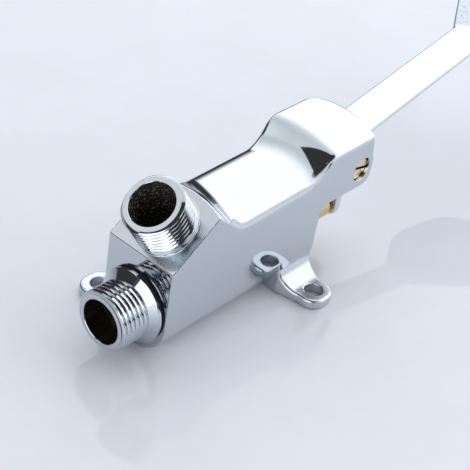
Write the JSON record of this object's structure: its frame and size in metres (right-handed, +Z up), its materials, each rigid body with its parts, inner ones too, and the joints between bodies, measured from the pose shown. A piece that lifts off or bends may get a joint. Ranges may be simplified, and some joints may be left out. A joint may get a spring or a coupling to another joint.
{
  "type": "foot pedal tap valve",
  "caption": "Chromed foot valve: a long pedal lever on a cross screw pushes a plunger that lifts a sprung valve disc between a level threaded inlet and a slanted threaded outlet.",
  "frame": {"origin": "on the floor under the body, midway between the two fixing holes", "axes": "+Z up, +Y out of the inlet nipple along the valve's axis, the pedal lever towards -Y, X across along the pivot"},
  "size_m": [0.0608, 0.2888, 0.0825],
  "materials": {
    "chrome_casting": "polished chrome plate on brass",
    "chrome_turned": "turned and plated brass, bare brass bore",
    "chrome_lever": "polished chrome plate, stippled on the pedal",
    "brass": "turned brass",
    "plunger_brass": "smooth turned brass",
    "screw_brass": "slotted brass, faint turning marks",
    "black_rubber": "matt black rubber",
    "white_plastic": "plain acetal",
    "spring_steel": "stainless spring wire"
  },
  "bodies": {
    "valve": {"body": "chrome_casting", "inlet_nipple": "chrome_turned", "inlet_seal_ring": "black_rubber", "valve_seat": "brass", "seat_o_ring": "black_rubber", "return_spring": "spring_steel", "gland": "brass", "gland_o_ring": "black_rubber", "stem_seals": "black_rubber", "seal_spacer": "white_plastic", "seal_retainer": "brass", "gland_circlip": "spring_steel", "pivot_screw": "screw_brass", "pivot_washers": "white_plastic"},
    "lever": {"pedal_lever": "chrome_lever", "pivot_bush": "white_plastic"},
    "spindle": {"stem": "brass", "plunger": "plunger_brass", "poppet": "brass", "valve_washer": "black_rubber", "washer_plate": "brass", "poppet_nut": "brass"}
  },
  "joints": [
    {"name": "pedal_hinge", "type": "hinge", "parent": "valve", "child": "lever", "pos_m": [0, -0.0577, 0.0376], "axis": [1, 0, 0], "range_deg": [0, 12], "stiffness_Nm_per_rad": 4, "springref_deg": -28.65},
    {"name": "stem_slide", "type": "slide", "parent": "valve", "child": "spindle", "axis": [0, 1, 0], "range_m": [0, 0.0051], "deforming": ["return_spring"]}
  ],
  "couplings": [
    {"joint": "stem_slide", "follows": "pedal_hinge", "m_per_rad": 0.0239}
  ]
}
